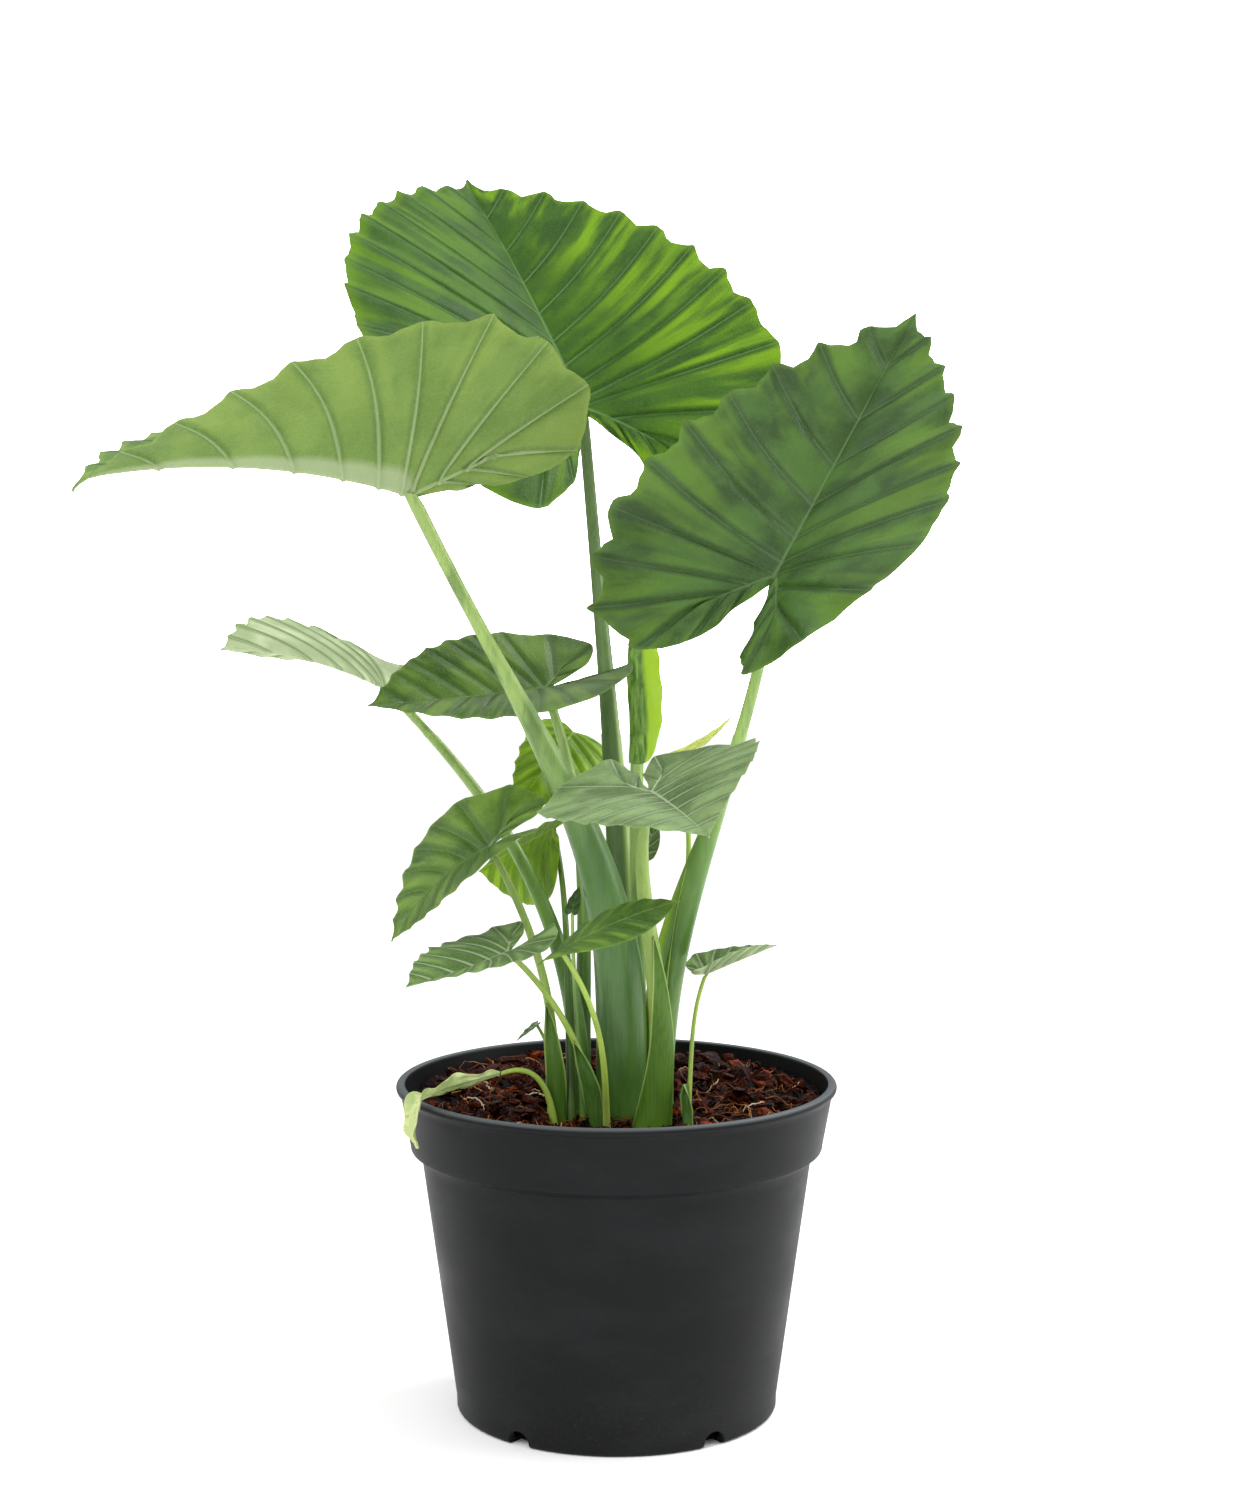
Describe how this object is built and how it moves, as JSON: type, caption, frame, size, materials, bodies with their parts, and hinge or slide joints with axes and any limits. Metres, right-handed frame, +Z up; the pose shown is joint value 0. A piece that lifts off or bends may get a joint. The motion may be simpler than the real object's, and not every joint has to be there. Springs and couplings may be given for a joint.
{
  "type": "potted giant taro plant",
  "caption": "Giant taro with large waved arrow-shaped leaves on tall stalks, growing in coir in a round black plastic nursery pot.",
  "frame": {"origin": "centre of the pot's flat underside, on the surface that it stands on", "axes": "+Z up along the pot's axis, +Y towards the back of the plant as the picture shows it, +X to its right"},
  "size_m": [0.5381, 0.5526, 0.8681],
  "materials": {
    "pot_plastic": "matt black moulded plastic",
    "coir": "damp coir and bark chips",
    "corm_skin": "rough papery skin",
    "leaf_green": "waxy leaf, soft gloss",
    "stalk_green": "smooth waxy stalk, soft gloss",
    "new_leaf_green": "young translucent leaf",
    "withered_green": "limp withered leaf, matt"
  },
  "bodies": {
    "root": {"pot": "pot_plastic", "soil": "coir", "corm": "corm_skin", "stalk_top": "stalk_green", "blade_top": "leaf_green", "stalk_left": "stalk_green", "blade_left": "leaf_green", "stalk_right": "stalk_green", "blade_right": "leaf_green", "stalk_middle_left": "stalk_green", "blade_middle_left": "leaf_green", "stalk_far_left": "stalk_green", "blade_far_left": "leaf_green", "stalk_centre": "stalk_green", "blade_centre": "leaf_green", "stalk_low_left": "stalk_green", "blade_low_left": "leaf_green", "stalk_bottom_left": "stalk_green", "blade_bottom_left": "leaf_green", "stalk_small_centre": "stalk_green", "blade_small_centre": "leaf_green", "stalk_small_right": "stalk_green", "blade_small_right": "leaf_green", "stalk_behind_centre": "stalk_green", "blade_behind_centre": "leaf_green", "stalk_behind_low_left": "stalk_green", "blade_behind_low_left": "leaf_green", "stalk_pale": "stalk_green", "blade_pale": "leaf_green", "stalk_back_small": "stalk_green", "blade_back_small": "leaf_green", "stalk_bud": "stalk_green", "blade_bud": "leaf_green", "stalk_rim_small": "stalk_green", "blade_rim_small": "leaf_green", "stalk_furled": "stalk_green", "blade_furled": "new_leaf_green", "stalk_withered": "withered_green", "blade_withered": "withered_green"}
  },
  "joints": []
}
